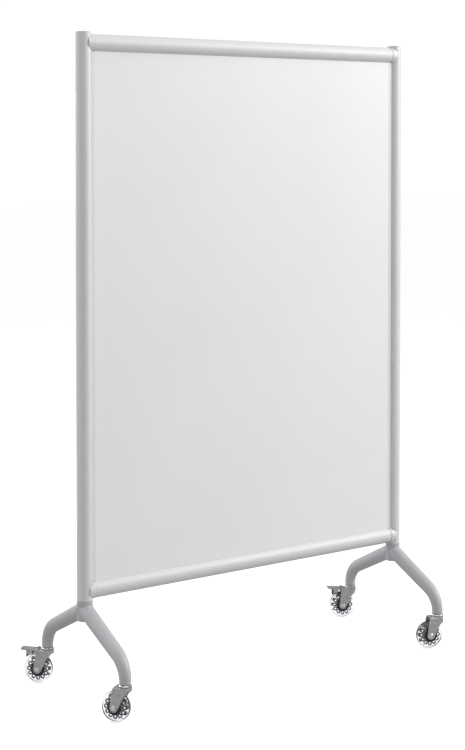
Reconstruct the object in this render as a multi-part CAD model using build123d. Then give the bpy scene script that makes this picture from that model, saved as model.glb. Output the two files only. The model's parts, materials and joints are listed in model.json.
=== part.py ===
from build123d import *

import math
import os

# A rolling whiteboard. Lengths are in millimetres and angles in degrees.
# +X runs along the board to the right, -Y is the front and +Z is up from the floor.
# Pieces are drawn with the posts on y = 0, then the whole model is moved so that
# the origin is at the middle of its footprint.

# Overall sizes
HEIGHT = 1676.0
WIDTH = 1067.0
STEM_SPACING = 374.0

# Posts and their caps
POST_RADIUS = 20.0
POST_WALL = 2.0
POST_BOTTOM = 258.0
POST_X = WIDTH / 2 - POST_RADIUS
POST_BORE = POST_RADIUS - POST_WALL
CAP_THICKNESS = 1.6
CAP_PLUG_DEPTH = 14.0
CAP_WALL = 2.0
CAP_CHAMFER = 0.5
PLUG_CLEARANCE = 0.1

# Rails, round tubes with a slot that holds the panel's tongue
RAIL_RADIUS = 22.2
RAIL_WALL = 2.0
TOP_RAIL_Z = 1648.8
BOTTOM_RAIL_Z = 281.3
RAIL_END = POST_X - POST_RADIUS - 3.0
SLOT_CLEARANCE = 0.2

# Saddles between the rail ends and the posts
SADDLE_LIP = 0.8
SADDLE_ROUNDING = 1.5
SADDLE_GAP = 0.9
SADDLE_REACH = 2.5
JOINT_GAP = 1.0
BOSS_RADIUS = 14.0
SPIGOT_LENGTH = 40.0
SPIGOT_CLEARANCE = 0.3
SPIGOT_REACH = 11.0
BOLT_RADIUS = 4.0
BOLT_HEAD_RADIUS = 7.0
BOLT_HEAD_THICKNESS = 5.0
BOLT_SEAT = {"top": 16.3, "bottom": 12.6}
BOLT_REACH = 38.0
SET_SCREW_RADIUS = 3.0
SET_SCREW_INSET = 22.0
SET_SCREW_TIP = 8.0
SET_SCREW_RECESS = 0.5

# Panel
PANEL_THICKNESS = 19.0
SHEET_THICKNESS = 0.5
TONGUE_DEPTH = 8.0
TRIM_REACH = 26.5
TRIM_THICKNESS = 20.0
TRIM_GAP = 0.3
CORE_THICKNESS = PANEL_THICKNESS - 2 * SHEET_THICKNESS
PANEL_HALF_WIDTH = POST_X - TRIM_REACH
RAIL_LIP = math.sqrt(RAIL_RADIUS**2 - (CORE_THICKNESS / 2) ** 2)

# Base hubs under the posts
HUB_BOTTOM = 207.0
HUB_BORE = 14.5
HUB_SPIGOT_TOP = 348.0
PLUG_THICKNESS = 3.0
PLUG_DEPTH = 12.0
LOCK_SCREW_RADIUS = 3.0
LOCK_SCREW_HEAD_RADIUS = 5.5
LOCK_SCREW_HEAD = 2.4
LOCK_SCREW_CHAMFER = 1.2
LOCK_SCREW_TIP = 10.0
LOCK_SCREW_Z = (314.0, 336.0)

# Legs: a taper down from the hub, a bend, and a short vertical end
LEG_AXIS_Z = 235.5
LEG_SLOPE = 26.8
LEG_BEND_RADIUS = 66.0
LEG_END_Z = 95.0
LEG_HUB_RADIUS = 19.8
LEG_BEND_START_RADIUS = 17.7
LEG_END_RADIUS = 14.5
LEG_WALL = 2.2
LEG_VOID_START = 32.0
LEG_ROOT_TRIM = 7.0

# Casters: stem, swivel and wheel
TRAIL = 24.0
WHEEL_RADIUS = 37.5
TREAD_WIDTH = 26.0
TREAD_SHOULDER = 31.0
CORE_HUB_WIDTH = 25.0
CORE_WEB = 5.0
CORE_DISC_RADIUS = 18.5
RING_COUNT = 12
RING_CENTRE_RADIUS = 23.6
RING_RADIUS = 5.65
RING_HOLE_RADIUS = 2.75
BUSHING_RADIUS = 6.0
AXLE_RADIUS = 4.0
AXLE_HEAD_RADIUS = 6.2
AXLE_HEAD = 2.6
AXLE_DOME = 2.1
RUNNING_CLEARANCE = 0.05
FREE_CLEARANCE = 0.3
STEM_RADIUS = 5.0
STEM_TOP = 115.0
SOCKET_RADIUS = 10.0
SOCKET_FOOT_TOP = 101.5
STEM_HEAD_RADIUS = 8.0
STEM_HEAD = 2.6
STEM_HEAD_CHAMFER = 0.9
WASHER_RADIUS = 12.5
WASHER_THICKNESS = 2.0
RACEWAY_RADIUS = 15.6
RACEWAY_NECK_RADIUS = 13.8
RACEWAY_FLANGE = 4.2
RACEWAY_BOTTOM = 85.5
RACEWAY_CHAMFER = 1.0
BALL_COUNT = 14
BALL_RADIUS = 2.25
BALL_CIRCLE_RADIUS = 11.0

# Fork: a bent steel plate with a round cup on top for the swivel
FORK_HALF_WIDTH = 17.0
FORK_PLATE = 2.5
FORK_TOP = 87.0
FORK_BEND_RADIUS = 4.0
FORK_END_RADIUS = 10.5
FORK_BACK = 26.5
FORK_FRONT = -11.0
FORK_SHOULDER_Z = 75.0
FORK_WAIST = (-1.0, 65.0)
CUP_RADIUS = 16.6
CUP_WALL = 1.8
CUP_FLOOR = 80.5
CUP_RIM = 87.8
BRAKE_NOTCH = 21.0

# Foot brake on the two rear casters
PEDAL_PIVOT = (26.0, 84.5)
PEDAL_PIN_RADIUS = 2.0
PEDAL_EAR_RADIUS = 4.6
PEDAL_HALF_WIDTH = 11.0
PEDAL_PLATE = 2.0
PEDAL_TOP = 88.0
PEDAL_LIP_BOTTOM = 83.4
PEDAL_PLATE_START = 31.5
PEDAL_TIP = 69.0
PEDAL_TIP_BEVEL = 3.5
PEDAL_RISE = 3.0
PEDAL_TRAVEL = 8.0
LOBE_Y = 45.0
LOBE_Z = 79.5
LOBE_RADIUS = 7.6
SHOE_Y = (36.0, 54.5)
SHOE_BOTTOM = 66.0
SHOE_TOP = 85.5
BRAKE_GAP = 0.4
SPRING_RADIUS = 2.75
SPRING_WIRE_RADIUS = 0.45
SPRING_PITCH = 1.8
SPRING_HALF_LENGTH = 5.4

# Which way each caster trails at rest: the turn of its wheel from straight back, to the left
CASTERS = {
    "front_left": (-1, -1, 34.0),
    "rear_left": (-1, 1, 46.0),
    "front_right": (1, -1, 67.0),
    "rear_right": (1, 1, 59.0),
}
BRAKED = ("rear_left", "rear_right")

SIDES = {"left": -1, "right": 1}
LEVELS = {"top": TOP_RAIL_Z, "bottom": BOTTOM_RAIL_Z}
STEM_Y = STEM_SPACING / 2


def rod(radius, low, high):
    """A vertical rod on the Z axis from low to high."""
    return Pos(0, 0, low) * Cylinder(radius, high - low, align=(Align.CENTER, Align.CENTER, Align.MIN))


def ring(radius, bore, low, high):
    """A vertical tube on the Z axis."""
    return rod(radius, low, high) - rod(bore, low, high)


def rod_x(radius, low, high):
    """A rod on the X axis from low to high."""
    return Rot(0, 90, 0) * rod(radius, low, high)


def rod_y(radius, low, high):
    """A rod on the Y axis from low to high."""
    return Rot(-90, 0, 0) * rod(radius, low, high)


def block(x_range, y_range, z_range):
    """A box between the given limits."""
    size = [high - low for low, high in (x_range, y_range, z_range)]
    middle = [(high + low) / 2 for low, high in (x_range, y_range, z_range)]
    return Pos(*middle) * Box(*size)


def side_plate(outline, half_width, inner=0.0):
    """A shape drawn in Y and Z, given its width along X, with the middle left out if inner is set."""
    solid = extrude(Plane.YZ * outline, half_width, both=True)
    if inner:
        solid -= extrude(Plane.YZ * outline, inner, both=True)
    return solid


def at_post(side):
    """The place of a post's axis."""
    return Pos(SIDES[side] * POST_X, 0, 0)


def at_caster(name):
    """The place of a caster's stem, turned the way that the caster trails."""
    side, end, turn = CASTERS[name]
    return Pos(side * POST_X, end * STEM_Y, 0) * Rot(0, 0, turn)


# Posts, caps and hubs


def lock_screws():
    """The screws at the back of one post that hold it on its hub."""
    screws = []
    for height in LOCK_SCREW_Z:
        shank = rod_y(LOCK_SCREW_RADIUS, LOCK_SCREW_TIP, POST_RADIUS)
        head = rod_y(LOCK_SCREW_HEAD_RADIUS, POST_BORE, POST_RADIUS + LOCK_SCREW_HEAD)
        head = chamfer(head.edges().group_by(Axis.Y)[-1], LOCK_SCREW_CHAMFER)
        head -= rod(POST_RADIUS, -HEIGHT, HEIGHT)
        screws.append(Pos(0, 0, height) * (shank + head))
    return screws


def saddle_bolt(side, level):
    """A bolt from inside a post into the saddle at one rail end."""
    seat = BOLT_SEAT[level]
    shank = rod_x(BOLT_RADIUS, seat, BOLT_REACH)
    head = rod_x(BOLT_HEAD_RADIUS, seat - BOLT_HEAD_THICKNESS, seat)
    inwards = Rot(0, 0, 180) if SIDES[side] > 0 else Rot(0, 0, 0)
    return Pos(SIDES[side] * POST_X, 0, LEVELS[level]) * inwards * (shank + head)


def post(side):
    """A round tube, bored for its screws and bolts."""
    tube = at_post(side) * ring(POST_RADIUS, POST_BORE, POST_BOTTOM, HEIGHT - CAP_THICKNESS)
    for screw in lock_screws():
        tube -= at_post(side) * screw
    for level in LEVELS:
        tube -= saddle_bolt(side, level)
    return tube


def post_cap(side):
    """A flush cap with a skirt that plugs into the post."""
    plug_radius = POST_BORE - PLUG_CLEARANCE
    cap_bottom = HEIGHT - CAP_THICKNESS
    flange = rod(POST_RADIUS, cap_bottom, HEIGHT)
    flange = chamfer(flange.edges().group_by(Axis.Z)[-1], CAP_CHAMFER)
    skirt = ring(plug_radius, plug_radius - CAP_WALL, cap_bottom - CAP_PLUG_DEPTH, cap_bottom)
    return at_post(side) * (flange + skirt)


def base_hub(side):
    """The tube that the legs meet, with a spigot that reaches up into the post."""
    spigot = ring(POST_BORE - PLUG_CLEARANCE, HUB_BORE, HUB_BOTTOM, HUB_SPIGOT_TOP)
    stub = ring(POST_RADIUS, HUB_BORE, HUB_BOTTOM, POST_BOTTOM)
    hub = spigot + stub
    for screw in lock_screws():
        hub -= screw
    return at_post(side) * hub - saddle_bolt(side, "bottom")


def hub_plug(side):
    """The plug that closes a hub from below, flush with its end."""
    disc = rod(HUB_BORE, HUB_BOTTOM, HUB_BOTTOM + PLUG_THICKNESS)
    skirt = ring(HUB_BORE, HUB_BORE - CAP_WALL, HUB_BOTTOM, HUB_BOTTOM + PLUG_DEPTH)
    return at_post(side) * (disc + skirt)


# Rails and their saddles


def set_screw(side, level):
    """A headless screw through the back of a rail into the saddle's spigot."""
    screw = rod_y(SET_SCREW_RADIUS, SET_SCREW_TIP, RAIL_RADIUS - SET_SCREW_RECESS)
    return Pos(SIDES[side] * (RAIL_END - SET_SCREW_INSET), 0, LEVELS[level]) * screw


def towards_panel(level):
    """+1 where the panel is above the rail, -1 where it is below."""
    return 1 if level == "bottom" else -1


def rail(level):
    """A round tube with a slot along it for the panel's tongue."""
    bar = rod_x(RAIL_RADIUS, -RAIL_END, RAIL_END) - rod_x(RAIL_RADIUS - RAIL_WALL, -RAIL_END, RAIL_END)
    slot = CORE_THICKNESS / 2 + SLOT_CLEARANCE
    slot_z = sorted((0, towards_panel(level) * 2 * RAIL_RADIUS))
    bar -= block((-RAIL_END, RAIL_END), (-slot, slot), slot_z)
    bar = Pos(0, 0, LEVELS[level]) * bar
    for side in SIDES:
        bar -= set_screw(side, level)
    return bar


def saddle(side, level):
    """The rail-end fitting: a collar shaped round the post, and a spigot inside the rail."""
    collar = rod_x(RAIL_RADIUS + SADDLE_LIP, RAIL_END + JOINT_GAP, POST_X - SADDLE_REACH)
    collar = fillet(collar.edges().group_by(Axis.X)[-1], SADDLE_ROUNDING)
    collar -= at_post("right") * rod(POST_RADIUS + SADDLE_GAP, -HEIGHT, HEIGHT)
    boss = rod_x(BOSS_RADIUS, RAIL_END, POST_X)
    boss -= at_post("right") * rod(POST_RADIUS, -HEIGHT, HEIGHT)
    spigot = rod_x(RAIL_RADIUS - RAIL_WALL - SPIGOT_CLEARANCE, RAIL_END - SPIGOT_LENGTH, RAIL_END)
    reach_z = sorted((SPIGOT_REACH, 2 * RAIL_RADIUS))
    spigot -= block((0, POST_X), (-POST_X, POST_X), reach_z)
    piece = collar + boss + spigot
    if level == "top":
        piece = mirror(piece, about=Plane.XY)
    if side == "left":
        piece = mirror(piece, about=Plane.YZ)
    piece = Pos(0, 0, LEVELS[level]) * piece
    return piece - saddle_bolt(side, level) - set_screw(side, level)


# Panel

PANEL_LOW = BOTTOM_RAIL_Z + RAIL_LIP + SLOT_CLEARANCE
PANEL_HIGH = TOP_RAIL_Z - RAIL_LIP - SLOT_CLEARANCE


def panel_core():
    """The board's inner slab, with a tongue into each rail's slot."""
    width = (-PANEL_HALF_WIDTH, PANEL_HALF_WIDTH)
    depth = (-CORE_THICKNESS / 2, CORE_THICKNESS / 2)
    return block(width, depth, (PANEL_LOW - TONGUE_DEPTH, PANEL_HIGH + TONGUE_DEPTH))


def writing_sheet(direction):
    """The writing sheet on the front (-1) or the back (+1) of the core."""
    inner = direction * CORE_THICKNESS / 2
    outer = direction * PANEL_THICKNESS / 2
    width = (-PANEL_HALF_WIDTH, PANEL_HALF_WIDTH)
    return block(width, sorted((inner, outer)), (PANEL_LOW, PANEL_HIGH))


def edge_trim(side):
    """The upright strip that fills the space between the panel, the post and the rail ends."""
    depth = (-TRIM_THICKNESS / 2, TRIM_THICKNESS / 2)
    strip = block((PANEL_HALF_WIDTH, POST_X), depth, (BOTTOM_RAIL_Z, TOP_RAIL_Z))
    strip -= at_post("right") * rod(POST_RADIUS + TRIM_GAP, 0, HEIGHT)
    for height in LEVELS.values():
        strip -= Pos(0, 0, height) * rod_x(RAIL_RADIUS + SADDLE_LIP + TRIM_GAP, 0, WIDTH)
    if side == "left":
        strip = mirror(strip, about=Plane.YZ)
    return strip


# Legs


def leg_shape(inset):
    """The solid outline of a rear leg, drawn in from its skin by inset."""
    slope = math.radians(LEG_SLOPE)
    corner_z = LEG_AXIS_Z - STEM_Y * math.tan(slope)
    turn = math.radians(90) - slope
    bend_end_z = corner_z - LEG_BEND_RADIUS * math.tan(turn / 2)
    centre_y = STEM_Y - LEG_BEND_RADIUS

    def on_bend(angle):
        """A point on the bend's axis, at an angle above the horizontal."""
        reach = LEG_BEND_RADIUS * math.cos(angle)
        rise = LEG_BEND_RADIUS * math.sin(angle)
        return (0, centre_y + reach, bend_end_z + rise)

    start = on_bend(turn)
    down = (0, math.cos(slope), -math.sin(slope))
    taper_plane = Plane(origin=(0, 0, LEG_AXIS_Z), x_dir=(1, 0, 0), z_dir=down)
    taper = taper_plane * Cone(
        LEG_HUB_RADIUS - inset,
        LEG_BEND_START_RADIUS - inset,
        start[1] / math.cos(slope),
        align=(Align.CENTER, Align.CENTER, Align.MIN),
    )
    bend_path = ThreePointArc(start, on_bend(turn / 2), on_bend(0))
    sections = [
        Plane(origin=start, x_dir=(1, 0, 0), z_dir=down) * Circle(LEG_BEND_START_RADIUS - inset),
        Plane(origin=on_bend(0), x_dir=(1, 0, 0), z_dir=(0, 0, -1)) * Circle(LEG_END_RADIUS - inset),
    ]
    bend = sweep(sections, path=bend_path, multisection=True)
    end = Pos(0, STEM_Y, 0) * rod(LEG_END_RADIUS - inset, LEG_END_Z, bend_end_z)
    return taper + bend + end


def leg(name):
    """A leg, hollow past its solid root, and cut to fit round its hub."""
    side, end, _ = CASTERS[name]
    tube = leg_shape(0) - (leg_shape(LEG_WALL) - rod(LEG_VOID_START, 0, HEIGHT))
    tube -= rod(POST_RADIUS, 0, HEIGHT)
    tube -= block((-POST_X, POST_X), (-POST_X, LEG_ROOT_TRIM), (0, HEIGHT))
    tube = max(tube.solids(), key=lambda solid: solid.volume)
    facing = Rot(0, 0, 0) if end > 0 else Rot(0, 0, 180)
    return Pos(side * POST_X, 0, 0) * facing * tube


# Caster pieces, each drawn with its stem on the Z axis and its wheel towards +Y


def stem_socket():
    """The sleeve in the leg's end that grips the stem, with a foot that fills the leg's bore."""
    sleeve = ring(SOCKET_RADIUS, STEM_RADIUS, LEG_END_Z, STEM_TOP)
    return sleeve + ring(LEG_END_RADIUS - LEG_WALL, STEM_RADIUS, LEG_END_Z, SOCKET_FOOT_TOP)


def caster_stem():
    """The pin that the caster swivels on, with its lower head under the cup."""
    head_top = CUP_FLOOR - FORK_PLATE - FREE_CLEARANCE
    stem = rod(STEM_RADIUS, head_top, STEM_TOP)
    head = rod(STEM_HEAD_RADIUS, head_top - STEM_HEAD, head_top)
    return stem + chamfer(head.edges().group_by(Axis.Z)[0], STEM_HEAD_CHAMFER)


def caster_washer():
    """The dark washer under the leg's end."""
    return ring(WASHER_RADIUS, STEM_RADIUS, LEG_END_Z - WASHER_THICKNESS, LEG_END_Z)


def caster_raceway():
    """The bright ring above the fork, with a neck down into the cup."""
    top = LEG_END_Z - WASHER_THICKNESS
    flange = rod(RACEWAY_RADIUS, top - RACEWAY_FLANGE, top)
    flange = chamfer(flange.edges(), RACEWAY_CHAMFER)
    neck = rod(RACEWAY_NECK_RADIUS, RACEWAY_BOTTOM, top - RACEWAY_FLANGE / 2)
    return flange + neck - rod(STEM_RADIUS, 0, HEIGHT)


def swivel_balls():
    """The ball race between the neck and the cup's floor."""
    height = RACEWAY_BOTTOM - BALL_RADIUS
    places = PolarLocations(BALL_CIRCLE_RADIUS, BALL_COUNT)
    return [Pos(0, 0, height) * place * Sphere(BALL_RADIUS) for place in places]


def at_axle(shape):
    """Moves a shape from the X axis to the axle."""
    return Pos(0, TRAIL, WHEEL_RADIUS) * shape


def wheel_core():
    """The black centre of the wheel: a wide hub with a circle of thin rings round it."""
    rings = Circle(CORE_DISC_RADIUS)
    places = PolarLocations(RING_CENTRE_RADIUS, RING_COUNT)
    for place in places:
        rings += place * Circle(RING_RADIUS)
    for place in places:
        rings -= place * Circle(RING_HOLE_RADIUS)
    hub = rod_x(CORE_DISC_RADIUS, -CORE_HUB_WIDTH / 2, CORE_HUB_WIDTH / 2)
    core = side_plate(rings, CORE_WEB / 2) + hub
    return core - rod_x(BUSHING_RADIUS, -CORE_HUB_WIDTH, CORE_HUB_WIDTH)


def tread():
    """The clear tyre, moulded round the core and through its small rings."""
    half = TREAD_WIDTH / 2
    profile = make_face(
        [
            Line((CORE_DISC_RADIUS, -half), (TREAD_SHOULDER, -half)),
            ThreePointArc((TREAD_SHOULDER, -half), (WHEEL_RADIUS, 0), (TREAD_SHOULDER, half)),
            Line((TREAD_SHOULDER, half), (CORE_DISC_RADIUS, half)),
            Line((CORE_DISC_RADIUS, half), (CORE_DISC_RADIUS, -half)),
        ]
    )
    tyre = Rot(0, 90, 0) * revolve(Plane.XZ * profile, Axis.Z)
    return tyre - wheel_core()


def wheel_bushing():
    """The sleeve in the hub that turns on the axle."""
    half = FORK_HALF_WIDTH - FORK_PLATE - FREE_CLEARANCE
    return rod_x(BUSHING_RADIUS, -half, half) - rod_x(AXLE_RADIUS + RUNNING_CLEARANCE, -half, half)


def axle():
    """A rivet with a domed head on each side of the fork."""
    shank = rod_x(AXLE_RADIUS, -FORK_HALF_WIDTH, FORK_HALF_WIDTH)
    for direction in (-1, 1):
        limits = sorted((direction * FORK_HALF_WIDTH, direction * (FORK_HALF_WIDTH + AXLE_HEAD)))
        head = rod_x(AXLE_HEAD_RADIUS, *limits)
        outer_edge = head.edges().sort_by(Axis.X)[-1 if direction > 0 else 0]
        shank += fillet(outer_edge, AXLE_DOME)
    return shank


def fork_outline():
    """The fork from the side: wide under the cup, with a tongue down to a round end at the axle."""
    end = Pos(TRAIL, WHEEL_RADIUS) * Circle(FORK_END_RADIUS)
    waist_y, waist_z = FORK_WAIST
    tongue_top = Line((FORK_BACK, FORK_TOP), (waist_y, FORK_TOP))
    tongue_front = Line((waist_y, FORK_TOP), (waist_y, waist_z))
    tongue = make_hull(end.edges() + [tongue_top, tongue_front])
    shoulder = make_face(
        Polyline(
            (waist_y, FORK_TOP),
            (waist_y, waist_z),
            (FORK_FRONT, FORK_SHOULDER_Z),
            (FORK_FRONT, FORK_TOP),
            close=True,
        )
    )
    return tongue + shoulder


def fork(braked):
    """A bent plate over the wheel, with a cup for the swivel and, if braked, a pair of ears."""
    inner = FORK_HALF_WIDTH - FORK_PLATE
    length = (FORK_FRONT, TRAIL + FORK_END_RADIUS)
    shell = block((-FORK_HALF_WIDTH, FORK_HALF_WIDTH), length, (0, FORK_TOP))
    bends = shell.edges().filter_by(Axis.Y).group_by(Axis.Z)[-1]
    shell = fillet(bends, FORK_BEND_RADIUS)
    hollow = block((-inner, inner), length, (0, FORK_TOP - FORK_PLATE))
    inner_bends = hollow.edges().filter_by(Axis.Y).group_by(Axis.Z)[-1]
    hollow = fillet(inner_bends, FORK_BEND_RADIUS - FORK_PLATE)
    bent = (shell - hollow) & side_plate(fork_outline(), FORK_HALF_WIDTH)
    cup = ring(CUP_RADIUS, CUP_RADIUS - CUP_WALL, CUP_FLOOR - FORK_PLATE, CUP_RIM)
    floor = rod(CUP_RADIUS, CUP_FLOOR - FORK_PLATE, CUP_FLOOR)
    piece = bent - rod(CUP_RADIUS, CUP_FLOOR, CUP_RIM) + cup + floor
    if braked:
        pivot_y, pivot_z = PEDAL_PIVOT
        ear = Pos(pivot_y, pivot_z) * Circle(PEDAL_EAR_RADIUS)
        ear += Pos(pivot_y, pivot_z - PEDAL_EAR_RADIUS) * Rectangle(
            2 * PEDAL_EAR_RADIUS, 2 * PEDAL_EAR_RADIUS
        )
        piece -= block((-inner, inner), (BRAKE_NOTCH, TRAIL + FORK_END_RADIUS), (CUP_FLOOR, CUP_RIM))
        piece += side_plate(ear, FORK_HALF_WIDTH, inner)
        piece -= pedal_pin()
    piece -= rod(STEM_RADIUS + RUNNING_CLEARANCE, 0, CUP_RIM)
    return piece - at_axle(rod_x(AXLE_RADIUS, -FORK_HALF_WIDTH, FORK_HALF_WIDTH))


def about_pivot(shape, angle):
    """Turns a brake piece about its pin, tip up for a positive angle."""
    pivot_y, pivot_z = PEDAL_PIVOT
    return Pos(0, pivot_y, pivot_z) * Rot(angle, 0, 0) * Pos(0, -pivot_y, -pivot_z) * shape


def pedal_pin():
    """The pin that the pedal turns on."""
    pivot_y, pivot_z = PEDAL_PIVOT
    return Pos(0, pivot_y, pivot_z) * rod_x(PEDAL_PIN_RADIUS, -FORK_HALF_WIDTH, FORK_HALF_WIDTH)


def wheel_room():
    """The space that the wheel takes, as a brake piece meets it when the pedal is right down."""
    wheel = at_axle(rod_x(WHEEL_RADIUS + BRAKE_GAP, -FORK_HALF_WIDTH, FORK_HALF_WIDTH))
    return about_pivot(wheel, PEDAL_TRAVEL)


def brake_pedal():
    """A channel with a flat tread on top, and a round lobe on each side that carries the shoe."""
    pivot_y, pivot_z = PEDAL_PIVOT
    lip_radius = PEDAL_TOP - pivot_z
    tip_low = (PEDAL_TIP - PEDAL_TIP_BEVEL, PEDAL_LIP_BOTTOM)
    tip_high = (PEDAL_TIP, PEDAL_TOP - PEDAL_PLATE)
    lip = Pos(pivot_y, pivot_z) * Circle(lip_radius)
    lip += make_face(
        Polyline(
            (pivot_y, PEDAL_TOP),
            (pivot_y, PEDAL_LIP_BOTTOM),
            tip_low,
            tip_high,
            (PEDAL_TIP, PEDAL_TOP),
            close=True,
        )
    )
    channel = side_plate(lip, PEDAL_HALF_WIDTH, PEDAL_HALF_WIDTH - PEDAL_PLATE)
    width = (-PEDAL_HALF_WIDTH, PEDAL_HALF_WIDTH)
    channel += block(width, (PEDAL_PLATE_START, PEDAL_TIP), (PEDAL_TOP - PEDAL_PLATE, PEDAL_TOP))
    channel = about_pivot(channel, PEDAL_RISE)
    lobe = Pos(LOBE_Y, LOBE_Z) * Circle(LOBE_RADIUS)
    channel += side_plate(lobe, PEDAL_HALF_WIDTH, PEDAL_HALF_WIDTH - PEDAL_PLATE)
    channel -= Pos(0, pivot_y, pivot_z) * rod_x(
        PEDAL_PIN_RADIUS + RUNNING_CLEARANCE, -PEDAL_HALF_WIDTH, PEDAL_HALF_WIDTH
    )
    return channel - wheel_room()


def brake_shoe():
    """The black pad between the pedal's lobes, hollowed to the wheel's curve."""
    half = PEDAL_HALF_WIDTH - PEDAL_PLATE
    pad = block((-half, half), SHOE_Y, (SHOE_BOTTOM, SHOE_TOP))
    return pad - wheel_room()


def brake_spring():
    """A torsion spring round the pedal's pin."""
    coil = Helix(SPRING_PITCH, 2 * SPRING_HALF_LENGTH, SPRING_RADIUS)
    wire = Plane(origin=coil @ 0, z_dir=coil % 0) * Circle(SPRING_WIRE_RADIUS)
    spring = sweep(wire, path=coil, is_frenet=True)
    pivot_y, pivot_z = PEDAL_PIVOT
    return Pos(-SPRING_HALF_LENGTH, pivot_y, pivot_z) * Rot(0, 90, 0) * spring


# The whole object


def model():
    """Every node by name, drawn with the posts on y = 0."""
    nodes = {}
    for side in SIDES:
        nodes[f"{side}_post"] = post(side)
        nodes[f"{side}_post_cap"] = post_cap(side)
        nodes[f"{side}_base_hub"] = base_hub(side)
        nodes[f"{side}_edge_trim"] = edge_trim(side)
    for level in LEVELS:
        nodes[f"{level}_rail"] = rail(level)
        for side in SIDES:
            nodes[f"{level}_{side}_saddle"] = saddle(side, level)
    nodes["panel_core"] = panel_core()
    nodes["front_writing_sheet"] = writing_sheet(-1)
    nodes["back_writing_sheet"] = writing_sheet(1)
    ends = [(side, level) for side in SIDES for level in LEVELS]
    groups = {
        "saddle_bolts": [saddle_bolt(side, level) for side, level in ends],
        "rail_set_screws": [set_screw(side, level) for side, level in ends],
        "hub_bottom_plugs": [hub_plug(side) for side in SIDES],
        "post_lock_screws": [at_post(side) * screw for side in SIDES for screw in lock_screws()],
        "stem_sockets": [at_caster(name) * stem_socket() for name in CASTERS],
        "caster_stems": [at_caster(name) * caster_stem() for name in CASTERS],
        "caster_washers": [at_caster(name) * caster_washer() for name in CASTERS],
        "caster_raceways": [at_caster(name) * caster_raceway() for name in CASTERS],
        "swivel_balls": [at_caster(name) * ball for name in CASTERS for ball in swivel_balls()],
    }
    for name, pieces in groups.items():
        nodes[name] = Compound([solid for piece in pieces for solid in piece.solids()])
    wheel_pieces = {
        "axle": at_axle(axle()),
        "wheel_core": at_axle(wheel_core()),
        "tread": at_axle(tread()),
        "wheel_bushing": at_axle(wheel_bushing()),
    }
    brake_pieces = {
        "brake_pedal": brake_pedal(),
        "brake_shoe": brake_shoe(),
        "pedal_pin": pedal_pin(),
        "brake_spring": brake_spring(),
    }
    for name in CASTERS:
        place = at_caster(name)
        nodes[f"{name}_leg"] = leg(name)
        nodes[f"{name}_fork"] = place * fork(name in BRAKED)
        for piece_name, piece in wheel_pieces.items():
            nodes[f"{name}_{piece_name}"] = place * piece
    for name in BRAKED:
        for piece_name, piece in brake_pieces.items():
            nodes[f"{name}_{piece_name}"] = at_caster(name) * piece
    return nodes


NODES = model()
FOOTPRINT = Compound([solid for node in NODES.values() for solid in node.solids()]).bounding_box()
SHIFT_X = -FOOTPRINT.center().X
SHIFT_Y = -FOOTPRINT.center().Y

os.makedirs("parts", exist_ok=True)
for node_name, node_shape in NODES.items():
    export_step(Pos(SHIFT_X, SHIFT_Y, 0) * node_shape, f"parts/{node_name}.step")
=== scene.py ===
import json
import math

import bmesh
import bpy
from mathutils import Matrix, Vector


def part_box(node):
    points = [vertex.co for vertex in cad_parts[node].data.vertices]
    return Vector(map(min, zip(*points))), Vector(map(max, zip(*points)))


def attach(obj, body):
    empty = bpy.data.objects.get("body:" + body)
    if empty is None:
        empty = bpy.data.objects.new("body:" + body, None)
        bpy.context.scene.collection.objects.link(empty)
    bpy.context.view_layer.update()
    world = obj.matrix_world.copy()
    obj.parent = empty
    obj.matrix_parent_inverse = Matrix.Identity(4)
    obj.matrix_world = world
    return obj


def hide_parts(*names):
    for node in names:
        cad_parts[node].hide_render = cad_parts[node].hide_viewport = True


# The looks of a rolling whiteboard, in metres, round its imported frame.
# +X runs along the board to the right, -Y is the front and +Z is up.

CASTERS = ("front_left", "rear_left", "front_right", "rear_right")
MM = 0.001

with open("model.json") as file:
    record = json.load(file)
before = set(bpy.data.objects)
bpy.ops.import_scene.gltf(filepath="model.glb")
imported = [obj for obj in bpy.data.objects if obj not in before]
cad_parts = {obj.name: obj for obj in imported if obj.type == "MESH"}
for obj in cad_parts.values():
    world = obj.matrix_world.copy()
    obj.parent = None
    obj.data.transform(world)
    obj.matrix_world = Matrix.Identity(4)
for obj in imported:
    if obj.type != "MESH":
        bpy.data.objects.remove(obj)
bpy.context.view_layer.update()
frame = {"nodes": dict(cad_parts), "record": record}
nodes = frame["nodes"]


# Where things are, from the frame


def middle(node):
    """The middle of a node's box."""
    low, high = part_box(node)
    return (Vector(low) + Vector(high)) / 2


POST_LEFT = middle("left_post")
POST_RIGHT = middle("right_post")
BOARD = (POST_LEFT + POST_RIGHT) / 2


# The camera, to the front left of the board, tilted slightly down and shifted to centre it

CAMERA_LEFT = 2.6477
CAMERA_FRONT = 3.5393
CAMERA_HEIGHT = 1.391
CAMERA_AZIMUTH = 36.22
CAMERA_TILT = 1.75
CAMERA_LENS = 79.6
CAMERA_SHIFT = -0.237
SENSOR = 36.0


def make_camera():
    data = bpy.data.cameras.new("camera")
    data.sensor_width = SENSOR
    data.lens = CAMERA_LENS
    data.shift_y = CAMERA_SHIFT
    camera = bpy.data.objects.new("camera", data)
    bpy.context.collection.objects.link(camera)
    camera.location = (BOARD.x - CAMERA_LEFT, BOARD.y - CAMERA_FRONT, CAMERA_HEIGHT)
    camera.rotation_euler = (
        math.radians(90 - CAMERA_TILT),
        0,
        math.radians(-CAMERA_AZIMUTH),
    )
    bpy.context.scene.camera = camera


# Lights and floor

SEEN_WHITE = 1.05
SKY_GREY = 0.56
SKY_TINT = 1.02
SKY_FULL_HEIGHT = 0.8
GROUND_GREY = 0.30
GROUND_TINT = 1.03
FLOOR_SIZE = 60.0
FLOOR_GREY = 0.45
FLOOR_LIFT = 0.75
FLOOR_ROUGHNESS = 0.9
FLOOR_SHEEN = 0.1
FLOOR_GAP = 0.0005


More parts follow.
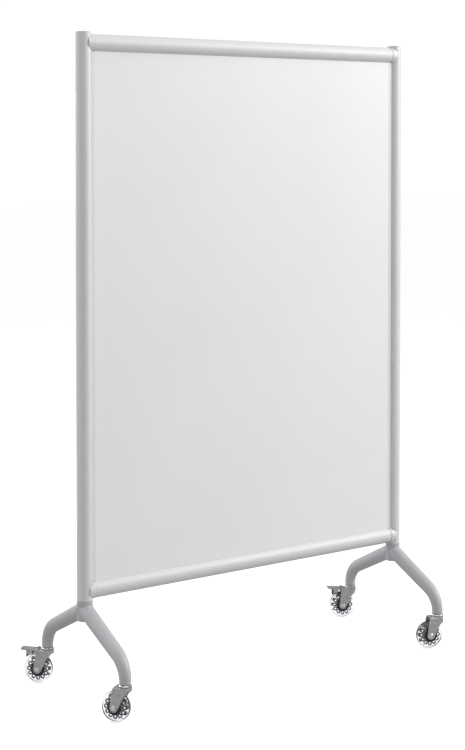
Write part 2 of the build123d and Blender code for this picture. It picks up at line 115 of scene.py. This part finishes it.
def make_area_light(name, place, target, size, power):
    """A white rectangular light at place, facing target, with its size in metres and its power in watts."""
    data = bpy.data.lights.new(name, "AREA")
    data.shape = "RECTANGLE"
    data.size, data.size_y = size
    data.energy = power
    light = bpy.data.objects.new(name, data)
    bpy.context.collection.objects.link(light)
    light.location = place
    direction = Vector(target) - Vector(place)
    light.rotation_mode = "QUATERNION"
    light.rotation_quaternion = direction.to_track_quat("-Z", "Y")


# Each light's place from the middle of the board, its size and its power.
LIGHTS = {
    "key": ((4.2, -2.9, 3.2), (2.6, 2.6), 225),
    "top": ((-0.5, -1.6, 4.2), (4.0, 3.0), 34),
    "rim": ((-3.4, 0.8, 1.6), (0.5, 2.4), 15),
    "back": ((-1.5, 4.0, 3.0), (3.0, 3.0), 110),
}
AIM_HEIGHT = 0.9


def make_lights():
    """A key light from the front right, with softer ones over, beside and behind the board."""
    target = (BOARD.x, BOARD.y, AIM_HEIGHT)
    for name, ((x, y, height), size, power) in LIGHTS.items():
        make_area_light(name, (BOARD.x + x, BOARD.y + y, height), target, size, power)


def seen_directly(tree):
    """1 for what the camera sees, straight or through the clear tyres, and 0 for what lights the object."""
    path = tree.nodes.new("ShaderNodeLightPath")
    either = tree.nodes.new("ShaderNodeMath")
    either.operation = "MAXIMUM"
    tree.links.new(path.outputs["Is Camera Ray"], either.inputs[0])
    tree.links.new(path.outputs["Is Transmission Ray"], either.inputs[1])
    return either.outputs[0]


def make_world():
    """White where the camera sees it, and a softer grey in what it lights."""
    world = bpy.data.worlds.new("studio")
    bpy.context.scene.world = world
    world.use_nodes = True
    tree = world.node_tree
    tree.nodes.clear()
    output = tree.nodes.new("ShaderNodeOutputWorld")
    mix = tree.nodes.new("ShaderNodeMixShader")
    direct = seen_directly(tree)
    seen = tree.nodes.new("ShaderNodeBackground")
    lit = tree.nodes.new("ShaderNodeBackground")
    seen.inputs["Color"].default_value = (1, 1, 1, 1)
    seen.inputs["Strength"].default_value = SEEN_WHITE
    place = tree.nodes.new("ShaderNodeTexCoord")
    split = tree.nodes.new("ShaderNodeSeparateXYZ")
    tree.links.new(place.outputs["Generated"], split.inputs[0])
    ground = grey(GROUND_GREY, GROUND_TINT)
    sky = grey(SKY_GREY, SKY_TINT)
    shade = add_colour(tree, split.outputs["Z"], ground, sky, 0.0, SKY_FULL_HEIGHT)
    tree.links.new(shade, lit.inputs["Color"])
    tree.links.new(direct, mix.inputs[0])
    tree.links.new(lit.outputs[0], mix.inputs[1])
    tree.links.new(seen.outputs[0], mix.inputs[2])
    tree.links.new(mix.outputs[0], output.inputs[0])


def make_floor():
    """A pale floor that runs into the white behind it, with soft contact shadows."""
    mesh = bpy.data.meshes.new("floor")
    half = FLOOR_SIZE / 2
    corners = [(x * half, y * half, -FLOOR_GAP) for x, y in ((-1, -1), (1, -1), (1, 1), (-1, 1))]
    mesh.from_pydata(corners, [], [(0, 1, 2, 3)])
    floor = bpy.data.objects.new("floor", mesh)
    bpy.context.collection.objects.link(floor)
    material, tree, shader = new_material("floor_paper")
    shader.inputs["Base Color"].default_value = (*grey(FLOOR_GREY), 1)
    shader.inputs["Roughness"].default_value = FLOOR_ROUGHNESS
    shader.inputs["Specular IOR Level"].default_value = FLOOR_SHEEN
    shader.inputs["Emission Color"].default_value = (1, 1, 1, 1)
    lift = tree.nodes.new("ShaderNodeMath")
    lift.operation = "MULTIPLY"
    lift.inputs[1].default_value = FLOOR_LIFT
    tree.links.new(seen_directly(tree), lift.inputs[0])
    tree.links.new(lift.outputs[0], shader.inputs["Emission Strength"])
    mesh.materials.append(material)


# Materials


def new_material(name):
    material = bpy.data.materials.new(name)
    material.use_nodes = True
    tree = material.node_tree
    tree.nodes.clear()
    output = tree.nodes.new("ShaderNodeOutputMaterial")
    shader = tree.nodes.new("ShaderNodeBsdfPrincipled")
    tree.links.new(shader.outputs[0], output.inputs[0])
    return material, tree, shader


def add_noise(tree, scale, detail=2.0, stretch=(1, 1, 1)):
    """A noise texture in the object's own space, with its features 1 / scale metres across."""
    place = tree.nodes.new("ShaderNodeTexCoord")
    mapping = tree.nodes.new("ShaderNodeMapping")
    mapping.inputs["Scale"].default_value = stretch
    noise = tree.nodes.new("ShaderNodeTexNoise")
    noise.inputs["Scale"].default_value = scale
    noise.inputs["Detail"].default_value = detail
    tree.links.new(place.outputs["Object"], mapping.inputs["Vector"])
    tree.links.new(mapping.outputs["Vector"], noise.inputs["Vector"])
    return noise.outputs["Fac"]


def add_range(tree, value, low, high, start=0.3, stop=0.7):
    """Maps a noise value onto the range low to high."""
    ranged = tree.nodes.new("ShaderNodeMapRange")
    ranged.inputs["From Min"].default_value = start
    ranged.inputs["From Max"].default_value = stop
    ranged.inputs["To Min"].default_value = low
    ranged.inputs["To Max"].default_value = high
    tree.links.new(value, ranged.inputs["Value"])
    return ranged.outputs["Result"]


def add_colour(tree, value, dark, light, start=0.3, stop=0.7):
    """Maps a noise value onto two colours."""
    ramp = tree.nodes.new("ShaderNodeValToRGB")
    ramp.color_ramp.elements[0].position = start
    ramp.color_ramp.elements[0].color = (*dark, 1)
    ramp.color_ramp.elements[1].position = stop
    ramp.color_ramp.elements[1].color = (*light, 1)
    tree.links.new(value, ramp.inputs["Fac"])
    return ramp.outputs["Color"]


def add_bump(tree, shader, value, depth, strength=1.0):
    bump = tree.nodes.new("ShaderNodeBump")
    bump.inputs["Strength"].default_value = strength
    bump.inputs["Distance"].default_value = depth
    tree.links.new(value, bump.inputs["Height"])
    tree.links.new(bump.outputs["Normal"], shader.inputs["Normal"])


def grey(value, tint=1.0):
    return (value, value, value * tint)


FLAKE_CONTRAST = 0.06
GLOSS_SPREAD = 0.03


def powder_coat(name, tone, metallic, roughness, tint=1.01):
    """Fine metallic powder coat: flake in the colour, an orange-peel bump and uneven gloss."""
    material, tree, shader = new_material(name)
    flake = add_noise(tree, 2600, 1.0)
    dark = grey(tone * (1 - FLAKE_CONTRAST), tint)
    light = grey(tone * (1 + FLAKE_CONTRAST), tint)
    colour = add_colour(tree, flake, dark, light)
    tree.links.new(colour, shader.inputs["Base Color"])
    cloud = add_noise(tree, 45, 3.0)
    gloss = add_range(tree, cloud, roughness - GLOSS_SPREAD, roughness + GLOSS_SPREAD)
    tree.links.new(gloss, shader.inputs["Roughness"])
    add_bump(tree, shader, add_noise(tree, 700, 2.0), 0.00004, 0.3)
    shader.inputs["Metallic"].default_value = metallic
    return material


def enamel_sheet():
    """White enamel on steel: smooth, faintly wavy, with the ghost of wiped marks in its gloss."""
    material, tree, shader = new_material("enamel_sheet")
    cloud = add_noise(tree, 3, 2.0)
    colour = add_colour(tree, cloud, (0.83, 0.83, 0.84), (0.85, 0.85, 0.855))
    tree.links.new(colour, shader.inputs["Base Color"])
    wiped = add_noise(tree, 22, 4.0, (1.0, 1.0, 0.25))
    tree.links.new(add_range(tree, wiped, 0.40, 0.46), shader.inputs["Roughness"])
    add_bump(tree, shader, add_noise(tree, 420, 2.0), 0.00001, 0.2)
    return material


def trim_plastic():
    """Pale satin plastic with a moulded grain."""
    material, tree, shader = new_material("trim_plastic")
    grain = add_noise(tree, 700, 2.0)
    colour = add_colour(tree, grain, (0.74, 0.74, 0.75), (0.79, 0.79, 0.795))
    tree.links.new(colour, shader.inputs["Base Color"])
    tree.links.new(add_range(tree, add_noise(tree, 60, 2.0), 0.42, 0.52), shader.inputs["Roughness"])
    add_bump(tree, shader, grain, 0.00003, 0.4)
    return material


def paper_honeycomb():
    """Brown paper, for the core inside the panel."""
    material, tree, shader = new_material("paper_honeycomb")
    fibre = add_noise(tree, 500, 4.0, (1.0, 1.0, 0.3))
    colour = add_colour(tree, fibre, (0.36, 0.27, 0.17), (0.52, 0.42, 0.29))
    tree.links.new(colour, shader.inputs["Base Color"])
    tree.links.new(add_range(tree, fibre, 0.75, 0.9), shader.inputs["Roughness"])
    add_bump(tree, shader, fibre, 0.0002, 0.6)
    return material


def pressed_steel():
    """Zinc-plated pressed steel, drawn along the sheet, with cloudy plating."""
    material, tree, shader = new_material("pressed_steel")
    cloud = add_noise(tree, 120, 4.0)
    colour = add_colour(tree, cloud, (0.45, 0.45, 0.46), (0.59, 0.59, 0.60))
    tree.links.new(colour, shader.inputs["Base Color"])
    drawn = add_noise(tree, 900, 2.0, (1.0, 1.0, 0.12))
    tree.links.new(add_range(tree, drawn, 0.30, 0.46), shader.inputs["Roughness"])
    add_bump(tree, shader, drawn, 0.00004, 0.4)
    shader.inputs["Metallic"].default_value = 0.8
    return material


def bright_chrome():
    """Polished chrome with a faint haze."""
    material, tree, shader = new_material("bright_chrome")
    haze = add_noise(tree, 260, 3.0)
    colour = add_colour(tree, haze, (0.74, 0.74, 0.76), (0.86, 0.86, 0.87))
    tree.links.new(colour, shader.inputs["Base Color"])
    tree.links.new(add_range(tree, haze, 0.07, 0.16), shader.inputs["Roughness"])
    add_bump(tree, shader, add_noise(tree, 2200, 1.0), 0.00001, 0.3)
    shader.inputs["Metallic"].default_value = 1.0
    return material


def clear_urethane():
    """Clear cast polyurethane with a faint cool tint and a scuffed skin."""
    material, tree, shader = new_material("clear_urethane")
    scuff = add_noise(tree, 400, 3.0)
    colour = add_colour(tree, scuff, (0.87, 0.875, 0.91), (0.93, 0.935, 0.96))
    tree.links.new(colour, shader.inputs["Base Color"])
    tree.links.new(add_range(tree, scuff, 0.03, 0.12), shader.inputs["Roughness"])
    add_bump(tree, shader, add_noise(tree, 130, 1.0), 0.0003, 0.4)
    shader.inputs["Transmission Weight"].default_value = 0.94
    shader.inputs["IOR"].default_value = 1.45
    return material


def moulded_black():
    """Black moulded plastic, half glossy."""
    material, tree, shader = new_material("moulded_black")
    grain = add_noise(tree, 1500, 2.0)
    colour = add_colour(tree, grain, (0.010, 0.010, 0.012), (0.022, 0.022, 0.025))
    tree.links.new(colour, shader.inputs["Base Color"])
    tree.links.new(add_range(tree, add_noise(tree, 90, 2.0), 0.30, 0.42), shader.inputs["Roughness"])
    add_bump(tree, shader, grain, 0.00003, 0.5)
    return material


def soft_black():
    """Matt black, for rubber and the sockets."""
    material, tree, shader = new_material("soft_black")
    grain = add_noise(tree, 900, 3.0)
    colour = add_colour(tree, grain, (0.012, 0.012, 0.013), (0.03, 0.03, 0.032))
    tree.links.new(colour, shader.inputs["Base Color"])
    tree.links.new(add_range(tree, grain, 0.6, 0.8), shader.inputs["Roughness"])
    add_bump(tree, shader, grain, 0.00008, 0.6)
    return material


def plain_steel():
    """Bright steel with turning marks, for the fasteners and other inner pieces."""
    material, tree, shader = new_material("plain_steel")
    turned = add_noise(tree, 1200, 2.0, (0.2, 1.0, 1.0))
    colour = add_colour(tree, turned, (0.46, 0.46, 0.48), (0.58, 0.58, 0.60))
    tree.links.new(colour, shader.inputs["Base Color"])
    tree.links.new(add_range(tree, turned, 0.25, 0.38), shader.inputs["Roughness"])
    add_bump(tree, shader, turned, 0.00003, 0.4)
    shader.inputs["Metallic"].default_value = 1.0
    return material


MATERIALS = {
    "silver_paint": powder_coat("silver_powder_coat", 0.69, 0.05, 0.5),
    "grey_paint": powder_coat("grey_powder_coat", 0.49, 0.1, 0.55, 1.03),
    "writing_surface": enamel_sheet(),
    "board_core": paper_honeycomb(),
    "white_trim": trim_plastic(),
    "fork_steel": pressed_steel(),
    "bright_chrome": bright_chrome(),
    "clear_tread": clear_urethane(),
    "black_plastic": moulded_black(),
    "black_rubber": soft_black(),
    "socket_plastic": soft_black(),
    "plain_steel": plain_steel(),
}


def dress_nodes():
    """Gives every CAD node the material of its slot."""
    for part in frame["record"]["subparts"]:
        slots = nodes[part["node"]].material_slots
        for slot in slots:
            slot.material = MATERIALS[part["material_slot"]]


# The clear tyres, turned as solid rings round the black cores that they are moulded on.
# Their size is the CAD tread's, with a bore that reaches just inside the core's hub.

TYRE_STEPS = 128
TYRE_ARC_STEPS = 14
TYRE_RADIUS = 37.5 * MM
TYRE_SHOULDER = 31.0 * MM
TYRE_HALF_WIDTH = 13.0 * MM
TYRE_BORE = 18.45 * MM
TYRE_EDGE = 0.8 * MM
TYRE_CREASE = 30


def tyre_outline():
    """The closed section of a tyre, as (along the axle, from the axle) points."""
    rise = TYRE_RADIUS - TYRE_SHOULDER
    crown = (TYRE_HALF_WIDTH**2 + rise**2) / (2 * rise)
    reach = math.asin((TYRE_HALF_WIDTH - TYRE_EDGE / 2) / crown)
    arc = []
    for step in range(TYRE_ARC_STEPS + 1):
        angle = reach * (2 * step / TYRE_ARC_STEPS - 1)
        arc.append((crown * math.sin(angle), TYRE_RADIUS - crown * (1 - math.cos(angle))))
    side = TYRE_HALF_WIDTH
    return [(-side, TYRE_BORE), (-side, TYRE_SHOULDER - TYRE_EDGE)] + arc + [
        (side, TYRE_SHOULDER - TYRE_EDGE),
        (side, TYRE_BORE),
    ]


def turned(name, outline, centre, axis, steps):
    """A closed section turned all the way round an axis through centre."""
    axis = Vector(axis).normalized()
    up = Vector((0, 0, 1))
    across = axis.cross(up)
    points = []
    for step in range(steps):
        angle = 2 * math.pi * step / steps
        outward = up * math.cos(angle) + across * math.sin(angle)
        points += [centre + axis * along + outward * radius for along, radius in outline]
    count = len(outline)
    faces = []
    for step in range(steps):
        here = step * count
        there = (step + 1) % steps * count
        for index in range(count):
            following = (index + 1) % count
            faces.append((here + index, here + following, there + following, there + index))
    mesh = bpy.data.meshes.new(name)
    mesh.from_pydata(points, [], faces)
    mesh.validate()
    mesh.update()
    piece = bpy.data.objects.new(name, mesh)
    bpy.context.collection.objects.link(piece)
    return piece


def face_outward(piece):
    """Turns a closed mesh's faces outward."""
    shell = bmesh.new()
    shell.from_mesh(piece.data)
    bmesh.ops.recalc_face_normals(shell, faces=shell.faces)
    shell.to_mesh(piece.data)
    shell.free()


def smooth(piece, angle):
    """Smooth shading, with edges kept where the surface turns by more than the angle in degrees."""
    for face in piece.data.polygons:
        face.use_smooth = True
    piece.data.set_sharp_from_angle(angle=math.radians(angle))


def make_tyres():
    """One clear tyre on each wheel, in place of the CAD tread."""
    joints = {joint["name"]: joint for joint in frame["record"]["behaviour"]["joints"]}
    for name in CASTERS:
        axis = joints[f"{name}_wheel_spin"]["axis"]
        tyre = turned(f"{name}_tyre", tyre_outline(), middle(f"{name}_tread"), axis, TYRE_STEPS)
        face_outward(tyre)
        smooth(tyre, TYRE_CREASE)
        tyre.data.materials.append(MATERIALS["clear_tread"])
        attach(tyre, f"{name}_wheel")
        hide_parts(f"{name}_tread")


# Rounded edges on the pressed and moulded pieces

ROUND_SEGMENTS = 2
ROUND_ABOVE_ANGLE = 40
EDGE_ROUNDS = {
    "fork": 0.5 * MM,
    "brake_pedal": 0.5 * MM,
    "post_cap": 0.3 * MM,
    "wheel_core": 0.35 * MM,
    "brake_shoe": 0.5 * MM,
}


def round_edges():
    """Gives the sharp edges of these CAD nodes a small round, as pressing and moulding leave them."""
    for name, node in nodes.items():
        for ending, width in EDGE_ROUNDS.items():
            if name.endswith(ending):
                rounding = node.modifiers.new("rounding", "BEVEL")
                rounding.width = width
                rounding.segments = ROUND_SEGMENTS
                rounding.limit_method = "ANGLE"
                rounding.angle_limit = math.radians(ROUND_ABOVE_ANGLE)
                rounding.use_clamp_overlap = True
                rounding.harden_normals = False


make_camera()
make_world()
make_floor()
dress_nodes()
make_tyres()
round_edges()

make_lights()

bpy.context.scene.view_settings.view_transform = "Standard"
